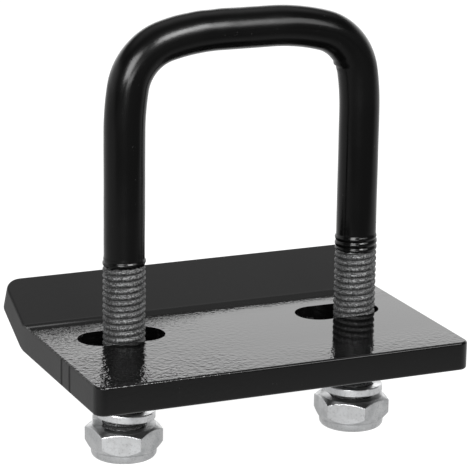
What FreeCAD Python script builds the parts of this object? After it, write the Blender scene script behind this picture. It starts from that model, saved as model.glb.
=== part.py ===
import FreeCAD, Part
import math
import os

# A square-bend U-bolt clamp of the kind that steadies a hitch: a sleeved U-bolt, a bent steel plate
# with two slots that slides on its legs, and a split lock washer and a lock nut on each leg.
# Millimetres. The origin is midway between the legs on the plate's clamping face, +X runs along
# the plate, +Y points to the bent-up flange and +Z points up to the crown of the U.

# U-bolt bar
LEG_SPACING = 70.5
SHANK_RADIUS = 5.25
THREAD_RADIUS = 5.9
COVERED_THREAD_RADIUS = 5.6
LEG_END_Z = -33.0
LEG_END_CHAMFER = 1.0
THREAD_TOP_Z = 22.4
THREAD_RUNOUT = 1.2
CROWN_Z = 83.9
# Each bend from its leg to the crown, as (radius, angle): it eases in, turns tight and eases out
BEND_ARCS = ((70.0, 9.6), (15.1, 65.1), (60.0, 15.3))

# Shrink sleeve over the bar; its two ends reach down over the first turns of thread
SLEEVE_RADIUS = 5.47
CUFF_RADIUS = 5.83
CUFF_TAPER = 1.6
SLEEVE_END_Z = {"left": 20.5, "right": 18.1}

# Clamp plate
PLATE_WIDTH = 109.8
PLATE_CENTRE_X = -3.1
PLATE_THICKNESS = 8.0
PLATE_FRONT_Y = -39.4
FOLD_Y = 19.3
FLANGE_LENGTH = 19.2
FLANGE_ANGLE = 26.5
FOLD_INNER_RADIUS = 1.2
PLATE_CORNER_RADIUS = 3.0
FLANGE_CORNER_RADIUS = 5.0
PLATE_EDGE_RADIUS = 0.7
SLOT_SPACING = 65.8
SLOT_LENGTH = 25.1
SLOT_WIDTH = 13.1
SHEAR_MARK_YS = (-12.6, -18.8)
SHEAR_MARK_RADIUS = 1.4
SHEAR_MARK_DEPTH = 0.35

# Lock nuts: hexagon above, round collar with a nylon ring below
NUT_TOP_Z = -25.5
NUT_HEIGHT = 9.0
NUT_FLATS = 19.0
NUT_FACE_RADIUS = 8.9
NUT_CHAMFER_DROP = 1.2
NUT_HEX_DROP = 4.8
NUT_TAPER_DROP = 6.7
NUT_COLLAR_RADIUS = 9.25
NUT_RIM_RADIUS = 8.4
NUT_RIM_ROUND = 1.1
NUT_BORE_RADIUS = 5.96
NUT_COUNTERSINK_RADIUS = 6.5
NUT_FLAT_ANGLE = {"left": 4.7, "right": -5.3}
INSERT_RADIUS = 7.5
INSERT_TOP_DROP = 5.8
INSERT_HEIGHT = 2.5
LIP_RADIUS = 6.8

# Split lock washers: one turn of left-hand helix
WASHER_INNER_RADIUS = 6.2
WASHER_OUTER_RADIUS = 8.8
WASHER_SECTION = 2.2
WASHER_RISE = 3.1
WASHER_TURN = 338.0
WASHER_SEAT_GAP = 0.1
WASHER_HIGH_END_ANGLE = {"left": -164.0, "right": 73.0}
WASHER_TILT = {"left": 0.0, "right": 3.0}
WASHER_TILT_AXIS = {"left": 0.0, "right": -117.0}

LEG_X = {"left": -LEG_SPACING / 2, "right": LEG_SPACING / 2}
SIDES = ("left", "right")
UP = FreeCAD.Vector(0, 0, 1)


def vector(x, y, z):
    return FreeCAD.Vector(x, y, z)


def revolved(profile, x=0.0):
    """A solid of revolution about the vertical through (x, 0) from (radius, z) points."""
    points = [vector(x + radius, 0, z) for radius, z in profile]
    face = Part.Face(Part.makePolygon(points + points[:1]))
    return face.revolve(vector(x, 0, 0), UP, 360)


def bend_size():
    """How far one bend reaches along X and Z."""
    width = height = turned = 0
    for arc_radius, angle in BEND_ARCS:
        start, end = math.radians(turned), math.radians(turned + angle)
        width += arc_radius * (math.cos(start) - math.cos(end))
        height += arc_radius * (math.sin(end) - math.sin(start))
        turned += angle
    return width, height


def bend(radius, side, sign, bend_z):
    """The arcs of one bend, from the top of its leg to the end of the crown."""
    arcs = []
    point = vector(LEG_X[side], 0, bend_z)
    turned = 0
    for arc_radius, angle in BEND_ARCS:
        start, end = math.radians(turned), math.radians(turned + angle)
        heading = vector(-sign * math.sin(start), 0, math.cos(start))
        centre = point - vector(sign * math.cos(start), 0, math.sin(start)) * arc_radius
        section = Part.Face(Part.Wire(Part.makeCircle(radius, point, heading)))
        arcs.append(section.revolve(centre, vector(0, -sign, 0), angle))
        point = centre + vector(sign * math.cos(end), 0, math.sin(end)) * arc_radius
        turned += angle
    return arcs


def bent_rod(radius):
    """The U without its threads: two legs, two eased bends and a short straight crown."""
    bend_width, bend_height = bend_size()
    bend_z = CROWN_Z - bend_height
    crown_half = LEG_SPACING / 2 - bend_width
    pieces = [
        Part.makeCylinder(radius, 2 * crown_half, vector(-crown_half, 0, CROWN_Z), vector(1, 0, 0))
    ]
    for side, sign in zip(SIDES, (-1, 1)):
        pieces += bend(radius, side, sign, bend_z)
        leg_height = bend_z - THREAD_TOP_Z
        pieces.append(Part.makeCylinder(radius, leg_height, vector(LEG_X[side], 0, THREAD_TOP_Z)))
    return pieces[0].multiFuse(pieces[1:]).removeSplitter()


def u_bolt_bar():
    """Round bar bent to a square U, each leg's thread a plain blank that thins where the sleeve grips it."""
    legs = []
    for side in SIDES:
        profile = [
            (0, LEG_END_Z),
            (THREAD_RADIUS - LEG_END_CHAMFER, LEG_END_Z),
            (THREAD_RADIUS, LEG_END_Z + LEG_END_CHAMFER),
            (THREAD_RADIUS, SLEEVE_END_Z[side] - THREAD_RUNOUT),
            (COVERED_THREAD_RADIUS, SLEEVE_END_Z[side]),
            (COVERED_THREAD_RADIUS, THREAD_TOP_Z),
            (SHANK_RADIUS, THREAD_TOP_Z + THREAD_RUNOUT),
            (0, THREAD_TOP_Z + THREAD_RUNOUT),
        ]
        legs.append(revolved(profile, LEG_X[side]))
    return bent_rod(SHANK_RADIUS).multiFuse(legs).removeSplitter()


def shrink_sleeve(bar):
    """Thin sleeve shrunk on the bar, swelling over the first turns of thread at each end."""
    cuffs = []
    for side in SIDES:
        end_z = SLEEVE_END_Z[side]
        profile = [
            (0, end_z),
            (CUFF_RADIUS, end_z),
            (CUFF_RADIUS, THREAD_TOP_Z),
            (SLEEVE_RADIUS, THREAD_TOP_Z + CUFF_TAPER),
            (0, THREAD_TOP_Z + CUFF_TAPER),
        ]
        cuffs.append(revolved(profile, LEG_X[side]))
    return bent_rod(SLEEVE_RADIUS).multiFuse(cuffs).cut(bar).removeSplitter()


def plate_profile():
    """The plate's bent section in the YZ plane, with concentric arcs at the fold."""
    angle = math.radians(FLANGE_ANGLE)
    half = angle / 2
    outer_radius = FOLD_INNER_RADIUS + PLATE_THICKNESS
    tangent_y = FOLD_Y - FOLD_INNER_RADIUS * math.tan(half)

    def on_arc(radius, turn):
        return vector(0, tangent_y + radius * math.sin(turn), FOLD_INNER_RADIUS - radius * math.cos(turn))

    along = vector(0, math.cos(angle), math.sin(angle))
    inward = vector(0, math.sin(angle), -math.cos(angle))
    flange_tip = vector(0, FOLD_Y, 0) + along * FLANGE_LENGTH
    flange_heel = flange_tip + inward * PLATE_THICKNESS
    front_top = vector(0, PLATE_FRONT_Y, 0)
    front_bottom = vector(0, PLATE_FRONT_Y, -PLATE_THICKNESS)
    edges = [
        Part.makeLine(front_bottom, front_top),
        Part.makeLine(front_top, on_arc(FOLD_INNER_RADIUS, 0)),
        Part.Arc(*(on_arc(FOLD_INNER_RADIUS, turn) for turn in (0, half, angle))).toShape(),
        Part.makeLine(on_arc(FOLD_INNER_RADIUS, angle), flange_tip),
        Part.makeLine(flange_tip, flange_heel),
        Part.makeLine(flange_heel, on_arc(outer_radius, angle)),
        Part.Arc(*(on_arc(outer_radius, turn) for turn in (angle, half, 0))).toShape(),
        Part.makeLine(on_arc(outer_radius, 0), front_bottom),
    ]
    return Part.Face(Part.Wire(edges))


def slot(centre_x):
    """A round-ended slot through the plate, long along X."""
    radius = SLOT_WIDTH / 2
    run = SLOT_LENGTH - SLOT_WIDTH
    depth = 2 * PLATE_THICKNESS
    start_z = -1.5 * PLATE_THICKNESS
    middle = Part.makeBox(run, SLOT_WIDTH, depth, vector(centre_x - run / 2, -radius, start_z))
    ends = [
        Part.makeCylinder(radius, depth, vector(centre_x + sign * run / 2, 0, start_z))
        for sign in (-1, 1)
    ]
    return middle.multiFuse(ends).removeSplitter()


def thickness_edges(shape, at_flange):
    """The straight edges that run through the plate's thickness at its four corners."""
    found = []
    for edge in shape.Edges:
        if not isinstance(edge.Curve, Part.Line) or abs(edge.Length - PLATE_THICKNESS) > 0.01:
            continue
        if (edge.CenterOfMass.y > FOLD_Y) == at_flange:
            found.append(edge)
    return found


def rim_edges(shape):
    """The outer edges of the plate's two broad sides, left out where a slot opens."""
    found = []
    for edge in shape.Edges:
        middle = edge.CenterOfMass
        in_slot = abs(middle.y) <= SLOT_WIDTH / 2 and abs(middle.x - PLATE_CENTRE_X) < SLOT_SPACING
        box = edge.BoundBox
        across_fold = box.XLength > PLATE_WIDTH / 2 and PLATE_FRONT_Y / 2 < middle.y < 1.6 * FOLD_Y
        through = isinstance(edge.Curve, Part.Line) and abs(edge.Length - PLATE_THICKNESS) < 0.01
        if not (in_slot or across_fold or through):
            found.append(edge)
    return found


def clamp_plate():
    """Bent steel plate with two slots, rounded corners and two shallow shear marks on its left end."""
    left_x = PLATE_CENTRE_X - PLATE_WIDTH / 2
    plate = plate_profile().extrude(vector(PLATE_WIDTH, 0, 0))
    plate.translate(vector(left_x, 0, 0))
    plate = plate.makeFillet(PLATE_CORNER_RADIUS, thickness_edges(plate, False))
    plate = plate.makeFillet(FLANGE_CORNER_RADIUS, thickness_edges(plate, True))
    plate = plate.makeFillet(PLATE_EDGE_RADIUS, rim_edges(plate))
    for sign in (-1, 1):
        plate = plate.cut(slot(PLATE_CENTRE_X + sign * SLOT_SPACING / 2))
    mark_x = left_x - SHEAR_MARK_RADIUS + SHEAR_MARK_DEPTH
    for mark_y in SHEAR_MARK_YS:
        start = vector(mark_x, mark_y, -1.5 * PLATE_THICKNESS)
        plate = plate.cut(Part.makeCylinder(SHEAR_MARK_RADIUS, 2 * PLATE_THICKNESS, start))
    return plate


def hexagon(flats, height, top_z):
    """A hexagonal prism about the vertical axis, with one flat facing +X."""
    corner = flats / math.sqrt(3)
    turns = [math.radians(30 + 60 * index) for index in range(6)]
    points = [vector(corner * math.cos(turn), corner * math.sin(turn), top_z - height) for turn in turns]
    return Part.Face(Part.makePolygon(points + points[:1])).extrude(vector(0, 0, height))


def lock_nut():
    """Hexagon nut whose round lower collar is turned in under a nylon ring."""
    bottom_z = NUT_TOP_Z - NUT_HEIGHT
    corner = NUT_FLATS / math.sqrt(3) + 0.1
    countersink = NUT_COUNTERSINK_RADIUS - NUT_BORE_RADIUS
    insert_top_z = NUT_TOP_Z - INSERT_TOP_DROP
    insert_bottom_z = insert_top_z - INSERT_HEIGHT
    body = revolved([
        (NUT_COUNTERSINK_RADIUS, NUT_TOP_Z),
        (NUT_FACE_RADIUS, NUT_TOP_Z),
        (corner, NUT_TOP_Z - NUT_CHAMFER_DROP),
        (corner, NUT_TOP_Z - NUT_HEX_DROP),
        (NUT_COLLAR_RADIUS, NUT_TOP_Z - NUT_TAPER_DROP),
        (NUT_COLLAR_RADIUS, bottom_z + NUT_RIM_ROUND),
        (NUT_COLLAR_RADIUS - 0.3 * NUT_RIM_ROUND, bottom_z + 0.3 * NUT_RIM_ROUND),
        (NUT_RIM_RADIUS, bottom_z),
        (LIP_RADIUS, bottom_z),
        (LIP_RADIUS, insert_bottom_z),
        (INSERT_RADIUS, insert_bottom_z),
        (INSERT_RADIUS, insert_top_z),
        (NUT_BORE_RADIUS, insert_top_z),
        (NUT_BORE_RADIUS, NUT_TOP_Z - countersink),
    ])
    collar_height = NUT_HEIGHT - NUT_HEX_DROP
    collar = Part.makeCylinder(NUT_COLLAR_RADIUS, collar_height, vector(0, 0, bottom_z))
    outline = hexagon(NUT_FLATS, NUT_HEIGHT, NUT_TOP_Z).fuse(collar)
    return body.common(outline).removeSplitter()


def nylon_insert():
    """The nylon ring held in the nut's collar, seated under the hexagon."""
    top_z = NUT_TOP_Z - INSERT_TOP_DROP
    bottom_z = top_z - INSERT_HEIGHT
    return revolved([
        (NUT_BORE_RADIUS, top_z),
        (INSERT_RADIUS, top_z),
        (INSERT_RADIUS, bottom_z),
        (NUT_BORE_RADIUS, bottom_z),
    ])


def lock_washer(side):
    """One open turn of square wire, free and uncompressed, standing on its nut."""
    mean_radius = (WASHER_INNER_RADIUS + WASHER_OUTER_RADIUS) / 2
    pitch = WASHER_RISE * 360 / WASHER_TURN
    path = Part.Wire(Part.makeHelix(pitch, WASHER_RISE, mean_radius, 0, True))
    corners = [
        vector(WASHER_INNER_RADIUS, 0, 0),
        vector(WASHER_OUTER_RADIUS, 0, 0),
        vector(WASHER_OUTER_RADIUS, 0, WASHER_SECTION),
        vector(WASHER_INNER_RADIUS, 0, WASHER_SECTION),
    ]
    section = Part.makePolygon(corners + corners[:1])
    ring = path.makePipeShell([section], True, True)
    ring.rotate(vector(0, 0, 0), UP, WASHER_HIGH_END_ANGLE[side] + WASHER_TURN)
    tilt_turn = math.radians(WASHER_TILT_AXIS[side])
    tilt_axis = vector(math.cos(tilt_turn), math.sin(tilt_turn), 0)
    ring.rotate(vector(0, 0, (WASHER_RISE + WASHER_SECTION) / 2), tilt_axis, WASHER_TILT[side])
    lowest_z = ring.optimalBoundingBox(True, False).ZMin
    ring.translate(vector(LEG_X[side], 0, NUT_TOP_Z + WASHER_SEAT_GAP - lowest_z))
    return ring


def build():
    """Every node of the clamp by name."""
    bar = u_bolt_bar()
    nodes = {
        "u_bolt_bar": bar,
        "shrink_sleeve": shrink_sleeve(bar),
        "clamp_plate": clamp_plate(),
    }
    for side in SIDES:
        nodes[side + "_lock_washer"] = lock_washer(side)
        for name, piece in (("_lock_nut", lock_nut()), ("_nylon_insert", nylon_insert())):
            piece.rotate(vector(0, 0, 0), UP, NUT_FLAT_ANGLE[side])
            piece.translate(vector(LEG_X[side], 0, 0))
            nodes[side + name] = piece
    return nodes


os.makedirs("parts", exist_ok=True)
for node, shape in build().items():
    solid = shape.Solids[0]
    box = solid.optimalBoundingBox(True, False)
    print(node, "solids", len(shape.Solids), "valid", solid.isValid(), "mm3", round(solid.Volume, 1))
    print("  from", round(box.XMin, 2), round(box.YMin, 2), round(box.ZMin, 2))
    print("  to", round(box.XMax, 2), round(box.YMax, 2), round(box.ZMax, 2))
    solid.exportStep("parts/" + node + ".step")
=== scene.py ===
"""Looks of a sleeved U-bolt hitch clamp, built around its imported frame.

The frame's axes hold everywhere: +X runs along the clamp plate, +Y points to its bent-up flange and
+Z runs up the legs to the crown. Sizes are in millimetres until a piece's mesh is written in metres.
"""

import sys
import logging
import math
from collections.abc import Callable
from dataclasses import dataclass
from enum import Enum

import bmesh
import bpy
from bmesh.types import BMEdge, BMesh, BMFace, BMVert
from bpy.types import Material, Node, NodeSocket, NodeTree, Object
from mathutils import Matrix, Vector, noise


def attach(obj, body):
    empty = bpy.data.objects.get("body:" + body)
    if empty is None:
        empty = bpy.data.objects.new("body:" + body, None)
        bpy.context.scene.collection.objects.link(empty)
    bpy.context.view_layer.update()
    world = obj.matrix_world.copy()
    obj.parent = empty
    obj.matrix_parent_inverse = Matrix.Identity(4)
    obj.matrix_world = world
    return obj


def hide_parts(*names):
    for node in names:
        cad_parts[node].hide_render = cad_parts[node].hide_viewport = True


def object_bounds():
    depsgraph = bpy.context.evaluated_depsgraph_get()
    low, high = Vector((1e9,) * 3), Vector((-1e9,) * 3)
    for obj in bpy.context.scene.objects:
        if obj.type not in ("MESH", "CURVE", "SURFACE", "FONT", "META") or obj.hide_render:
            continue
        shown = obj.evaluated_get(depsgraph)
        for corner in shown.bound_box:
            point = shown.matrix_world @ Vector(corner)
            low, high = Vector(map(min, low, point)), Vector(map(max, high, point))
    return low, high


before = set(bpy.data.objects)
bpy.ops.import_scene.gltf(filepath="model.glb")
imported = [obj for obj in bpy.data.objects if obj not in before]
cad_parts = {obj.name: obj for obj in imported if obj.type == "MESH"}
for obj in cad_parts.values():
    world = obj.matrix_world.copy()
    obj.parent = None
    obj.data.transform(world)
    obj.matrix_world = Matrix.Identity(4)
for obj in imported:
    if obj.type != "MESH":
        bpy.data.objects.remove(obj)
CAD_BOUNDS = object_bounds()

MM = 0.001
MERGE_MM = 0.002
Ring = tuple[list[BMVert], list[BMEdge]]

log = logging.getLogger("u_bolt_clamp")


# ---------------------------------------------------------------------------------------------
# Sides, threads and small mesh tools
# ---------------------------------------------------------------------------------------------


class Side(Enum):
    """The two legs of the clamp, each with its nut and washer."""

    LEFT = "left"
    RIGHT = "right"

    @property
    def sign(self) -> int:
        """-1 on the left leg and +1 on the right leg."""
        return -1 if self is Side.LEFT else 1


@dataclass(frozen=True)
class ThreadForm:
    """A rolled right-hand thread, described by the radii along one pitch.

    The form starts and ends in the middle of a root, so that one turn's end is the next one's start.
    """

    pitch: float = 1.75
    major_radius: float = 5.97
    root_radius: float = 5.15
    crest_half: float = 0.52
    crest_round: float = 0.22
    root_half: float = 0.06

    def outline(self, clearance: float = 0.0, smallest: float = 0.0) -> list[tuple[float, float]]:
        """The form as (height, radius) points over one pitch.

        Args:
            clearance: Added to every radius, which turns a bolt's form into its nut's.
            smallest: Radius below which the form is cut off.

        Returns:
            Points in rising height, the first and last one pitch apart.
        """
        middle = self.pitch / 2
        shoulder = self.major_radius - self.crest_round
        half = [
            (0.0, self.root_radius),
            (self.root_half, self.root_radius + 0.03),
            (middle - self.crest_half, shoulder),
            (middle - self.crest_half * 0.55, self.major_radius - self.crest_round * 0.25),
            (middle, self.major_radius),
        ]
        mirrored = [(self.pitch - height, radius) for height, radius in reversed(half[:-1])]
        return [(height, max(radius + clearance, smallest)) for height, radius in half + mirrored]

    def crest_share(self, height: float, angle: float, datum: float) -> float:
        """How near a point is to a crest: 1 on the crest and 0 in the root.

        Args:
            height: The point's height.
            angle: Its angle about the thread's axis, in radians from +X.
            datum: Height of a root at angle 0.

        Returns:
            A smooth share from 0 to 1.
        """
        turn = (height - datum) / self.pitch - angle / math.tau
        return 0.5 - 0.5 * math.cos(math.tau * turn)


def smooth_step(value: float) -> float:
    """0 below 0, 1 above 1 and an even S-curve between."""
    value = min(max(value, 0.0), 1.0)
    return value * value * (3 - 2 * value)


def hump(value: float, centre: float, half_width: float) -> float:
    """A soft bell of height 1 about centre, gone at twice the half width."""
    return math.exp(-(((value - centre) / half_width) ** 2) * 1.4)


def split(geometry: list) -> Ring:
    """The vertices and the edges among an operator's mixed results."""
    verts = [item for item in geometry if isinstance(item, BMVert)]
    edges = [item for item in geometry if isinstance(item, BMEdge)]
    return verts, edges


def ring_of(bm: BMesh, radius: float, segments: int, x: float, z: float) -> Ring:
    """A level open circle about the vertical through (x, 0), as its vertices and edges."""
    made = bmesh.ops.create_circle(
        bm, segments=segments, radius=radius, matrix=Matrix.Translation((x, 0, z))
    )
    verts = made["verts"]
    edges = list({edge for vert in verts for edge in vert.link_edges})
    return verts, edges


def open_loop(bm: BMesh, z: float, x: float, reach: float = 12.0) -> list[BMEdge]:
    """The boundary edges that lie at height z around the vertical through (x, 0)."""
    return [
        edge
        for edge in bm.edges
        if edge.is_boundary
        and all(abs(v.co.z - z) < 10 * MERGE_MM and abs(v.co.x - x) < reach for v in edge.verts)
    ]


def join(bm: BMesh, other: BMesh) -> None:
    """Add other's geometry to bm and free it."""
    carrier = bpy.data.meshes.new("carrier")
    other.to_mesh(carrier)
    other.free()
    bm.from_mesh(carrier)
    bpy.data.meshes.remove(carrier)


def helical_thread(
    outline: list[tuple[float, float]], pitch: float, x: float, datum: float, bottom: float, top: float, steps: int = 60
) -> BMesh:
    """Spin a thread form into a helical surface, cut level at both ends.

    Args:
        outline: (height, radius) points over one pitch, from root to root.
        pitch: Rise in one turn.
        x: Where the vertical axis stands.
        datum: Height of a root at angle 0.
        bottom: Height of the lower cut.
        top: Height of the upper cut.
        steps: Flats in one turn.

    Returns:
        A mesh with one open loop at each cut.
    """
    bm = bmesh.new()
    start = datum + pitch * (math.floor((bottom - datum) / pitch) - 1)
    turns = math.ceil((top - start) / pitch) + 1
    verts = [bm.verts.new((x + radius, 0, start + height)) for height, radius in outline]
    edges = [bm.edges.new(pair) for pair in zip(verts, verts[1:])]
    bmesh.ops.spin(
        bm,
        geom=verts + edges,
        cent=(x, 0, 0),
        axis=(0, 0, 1),
        dvec=(0, 0, pitch / steps),
        angle=math.tau,
        steps=steps,
    )
    one_turn = bm.verts[:] + bm.edges[:] + bm.faces[:]
    for index in range(1, turns):
        copied = bmesh.ops.duplicate(bm, geom=one_turn)
        bmesh.ops.translate(bm, vec=(0, 0, pitch * index), verts=split(copied["geom"])[0])
    bmesh.ops.remove_doubles(bm, verts=bm.verts, dist=MERGE_MM)
    for height, outer in ((bottom, False), (top, True)):
        bmesh.ops.bisect_plane(
            bm,
            geom=bm.verts[:] + bm.edges[:] + bm.faces[:],
            dist=MERGE_MM / 4,
            plane_co=(0, 0, height),
            plane_no=(0, 0, 1),
            clear_outer=outer,
            clear_inner=not outer,
        )
    return bm


def face_toward(bm: BMesh, direction: Vector) -> BMFace:
    """The largest face that looks along direction and lies furthest along it."""
    facing = [face for face in bm.faces if face.normal.dot(direction) > 0.999]
    reach = max(face.calc_center_median().dot(direction) for face in facing)
    outermost = [face for face in facing if face.calc_center_median().dot(direction) > reach - 0.01]
    return max(outermost, key=lambda face: face.calc_area())


def step_face(bm: BMesh, face: BMFace, radius: float, z: float) -> BMFace:
    """Extrude a round level face about the Z axis to a new radius and height.

    Args:
        bm: The mesh.
        face: A regular polygon centred on the Z axis.
        radius: The new face's corner radius.
        z: The new face's height.

    Returns:
        The new face.
    """
    made = bmesh.ops.extrude_face_region(bm, geom=[face])
    new_face = next(item for item in made["geom"] if isinstance(item, BMFace))
    bmesh.ops.delete(bm, geom=[face], context="FACES_ONLY")
    old_radius = max(math.hypot(vert.co.x, vert.co.y) for vert in new_face.verts)
    old_z = new_face.verts[0].co.z
    scale = radius / old_radius
    bmesh.ops.scale(bm, vec=(scale, scale, 1), verts=new_face.verts[:])
    bmesh.ops.translate(bm, vec=(0, 0, z - old_z), verts=new_face.verts[:])
    return new_face


def cut_cone(bm: BMesh, radius: float, z: float, run: float, drop: float, facets: int) -> None:
    """Chamfer a prism about the Z axis with a cone, cut as many tangent planes.

    Args:
        bm: The mesh to cut, closed before and after.
        radius: Where the cone meets the level z.
        z: That level.
        run: How far out the cone goes over drop.
        drop: Its change in height over run: negative below z, positive above.
        facets: Number of planes.
    """
    for index in range(facets):
        turn = math.tau * (index + 0.5) / facets
        outward = Vector((math.cos(turn), math.sin(turn), 0))
        normal = outward * abs(drop) + Vector((0, 0, run if drop < 0 else -run))
        cut = bmesh.ops.bisect_plane(
            bm,
            geom=bm.verts[:] + bm.edges[:] + bm.faces[:],
            dist=MERGE_MM / 4,
            plane_co=outward * radius + Vector((0, 0, z)),
            plane_no=normal.normalized(),
            clear_outer=True,
        )
        _, edges = split(cut["geom_cut"])
        if edges:
            bmesh.ops.holes_fill(bm, edges=edges, sides=0)


def bevel_sharp(bm: BMesh, offset: float, segments: int, angle: float, keep: Callable[[BMEdge], bool]) -> None:
    """Round the sharp edges that keep() picks."""
    edges = [
        edge
        for edge in bm.edges
        if len(edge.link_faces) == 2 and edge.calc_face_angle(0) > math.radians(angle) and keep(edge)
    ]
    bmesh.ops.bevel(
        bm,
        geom=edges,
        offset=offset,
        offset_type="OFFSET",
        segments=segments,
        profile=0.5,
        affect="EDGES",
        clamp_overlap=True,
        material=-1,
    )


@dataclass(frozen=True)
class PieceTag:
    """What a finished piece is called, rides on, is made of and stands for.

    Edges are shaded smooth below the smooth angle, except around faces larger than the flat area.
    """

    name: str
    body: str
    slot: str
    replaces: tuple[str, ...] = ()
    smooth_angle: float = 38.0
    flat_area: float = math.inf


def finish_piece(bm: BMesh, tag: PieceTag, material: Material, recalculate: bool = True) -> Object:
    """Turn a millimetre mesh into a finished piece in the frame.

    Args:
        bm: The mesh, which is freed.
        tag: The piece's name, body, slot and replaced nodes.
        material: Its finish.
        recalculate: Whether the normals are turned outwards here.

    Returns:
        The piece's object, at the origin, riding on its body.
    """
    bmesh.ops.remove_doubles(bm, verts=bm.verts, dist=MERGE_MM / 2)
    if recalculate:
        bmesh.ops.recalc_face_normals(bm, faces=bm.faces)
    limit = math.radians(tag.smooth_angle)
    for edge in bm.edges:
        beside_flat = any(face.calc_area() > tag.flat_area for face in edge.link_faces)
        edge.smooth = not beside_flat and edge.calc_face_angle(0) < limit
    for face in bm.faces:
        face.smooth = True
    bmesh.ops.scale(bm, vec=(MM, MM, MM), verts=bm.verts)
    mesh = bpy.data.meshes.new(tag.name)
    bm.to_mesh(mesh)
    open_edges = sum(1 for edge in bm.edges if edge.is_boundary)
    bm.free()
    piece = bpy.data.objects.new(tag.name, mesh)
    bpy.context.scene.collection.objects.link(piece)
    mesh.materials.append(material)
    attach(piece, tag.body)
    if tag.replaces:
        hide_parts(*tag.replaces)
    log.info("%s: %d faces, %d open edges, on %s", tag.name, len(mesh.polygons), open_edges, tag.body)
    return piece


# ---------------------------------------------------------------------------------------------
# Shader tools and shared effects
# ---------------------------------------------------------------------------------------------


class Tree:
    """A thin wrapper that adds and links shader nodes."""

    def __init__(self, tree: NodeTree) -> None:
        """Wrap a node tree and empty it."""
        self.tree = tree
        tree.nodes.clear()

    def add(self, kind: str, **values: object) -> Node:
        """Add a node.

        Args:
            kind: Node type without its ShaderNode prefix, or a full type name.
            **values: Attributes of the node, set before it is used.

        Returns:
            The new node.
        """
        full = kind if kind.startswith("Node") else "ShaderNode" + kind
        node = self.tree.nodes.new(full)
        for key, value in values.items():
            setattr(node, key, value)
        return node

    def link(self, source: NodeSocket, target: NodeSocket) -> None:
        """Link an output socket to an input socket."""
        self.tree.links.new(source, target)

    def feed(self, node: Node, **inputs: object) -> Node:
        """Set or link a node's inputs by name, with spaces written as underscores."""
        for key, value in inputs.items():
            socket = node.inputs[int(key[1:])] if key[0] == "i" and key[1:].isdigit() else node.inputs[key.replace("_", " ")]
            if isinstance(value, NodeSocket):
                self.link(value, socket)
            else:
                socket.default_value = value
        return node

    def math(self, operation: str, first: object, second: object = 0.0, clamp: bool = False) -> NodeSocket:
        """One Math node's result."""
        node = self.feed(self.add("Math", operation=operation, use_clamp=clamp), i0=first, i1=second)
        return node.outputs[0]

    def remap(self, value: NodeSocket, low: float, high: float, to_low: float = 0.0, to_high: float = 1.0) -> NodeSocket:
        """Value from low..high to to_low..to_high, held at the ends."""
        node = self.feed(
            self.add("MapRange", interpolation_type="SMOOTHSTEP"),
            Value=value, From_Min=low, From_Max=high, To_Min=to_low, To_Max=to_high,
        )
        return node.outputs[0]

    def noise(self, vector: NodeSocket, scale: float, detail: float = 2.0, roughness: float = 0.5) -> NodeSocket:
        """A noise texture's value."""
        node = self.feed(self.add("TexNoise"), Vector=vector, Scale=scale, Detail=detail, Roughness=roughness)
        return node.outputs["Fac"]

    def mix_colour(self, factor: object, first: object, second: object) -> NodeSocket:
        """A colour between two colours."""
        node = self.add("Mix", data_type="RGBA")
        self.feed(node, i0=factor, i6=first, i7=second)
        return node.outputs[2]


def grey(level: float, blue: float = 0.0) -> tuple[float, float, float, float]:
    """A neutral linear colour, cooled a little by blue."""
    return (level * (1 - blue), level * (1 - blue / 2), level, 1.0)


def new_group(name: str, inputs: dict[str, float], outputs: tuple[str, ...]) -> tuple[NodeTree, Tree, Node, Node]:
    """Start a shader node group with a Vector input, float inputs and float outputs.

    Args:
        name: The group's name.
        inputs: Float inputs and their defaults.
        outputs: Float outputs.

    Returns:
        The group, its wrapper, and its input and output nodes.
    """
    group = bpy.data.node_groups.new(name, "ShaderNodeTree")
    group.interface.new_socket("Vector", in_out="INPUT", socket_type="NodeSocketVector")
    for label, default in inputs.items():
        socket = group.interface.new_socket(label, in_out="INPUT", socket_type="NodeSocketFloat")
        socket.default_value = default
    for label in outputs:
        group.interface.new_socket(label, in_out="OUTPUT", socket_type="NodeSocketFloat")
    tree = Tree(group)
    return group, tree, tree.add("NodeGroupInput"), tree.add("NodeGroupOutput")


def make_orange_peel() -> NodeTree:
    """Rippled skin of a sprayed coat: a height for a bump, and how strong the ripple is here."""
    group, tree, source, result = new_group(
        "orange_peel", {"Cell Size": 0.0016, "Patchiness": 0.5}, ("Height", "Patch")
    )
    vector = source.outputs["Vector"]
    scale = tree.math("DIVIDE", 1.0, source.outputs["Cell Size"])
    ripple = tree.noise(vector, scale, 1.5, 0.45)
    fine = tree.noise(vector, tree.math("MULTIPLY", scale, 2.7), 1.0, 0.4)
    patch = tree.remap(tree.noise(vector, 38.0, 2.0), 0.36, 0.64)
    softened = tree.math("MULTIPLY", tree.math("SUBTRACT", 1.0, patch), source.outputs["Patchiness"])
    strength = tree.math("SUBTRACT", 1.0, softened)
    height = tree.math("ADD", ripple, tree.math("MULTIPLY", fine, 0.3))
    tree.link(tree.math("MULTIPLY", height, strength), result.inputs["Height"])
    tree.link(strength, result.inputs["Patch"])
    return group


def make_metal_grain() -> NodeTree:
    """Fine grain and faint blotches of a plated or rolled surface."""
    group, tree, source, result = new_group(
        "metal_grain", {"Grain Size": 0.0004, "Blotch Size": 0.004}, ("Grain", "Blotch", "Height")
    )
    vector = source.outputs["Vector"]
    grain = tree.noise(vector, tree.math("DIVIDE", 1.0, source.outputs["Grain Size"]), 3.0, 0.6)
    blotch = tree.noise(vector, tree.math("DIVIDE", 1.0, source.outputs["Blotch Size"]), 3.0, 0.55)
    tree.link(tree.remap(grain, 0.3, 0.7), result.inputs["Grain"])
    tree.link(tree.remap(blotch, 0.34, 0.66), result.inputs["Blotch"])
    tree.link(tree.math("ADD", grain, tree.math("MULTIPLY", blotch, 0.6)), result.inputs["Height"])
    return group


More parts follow.
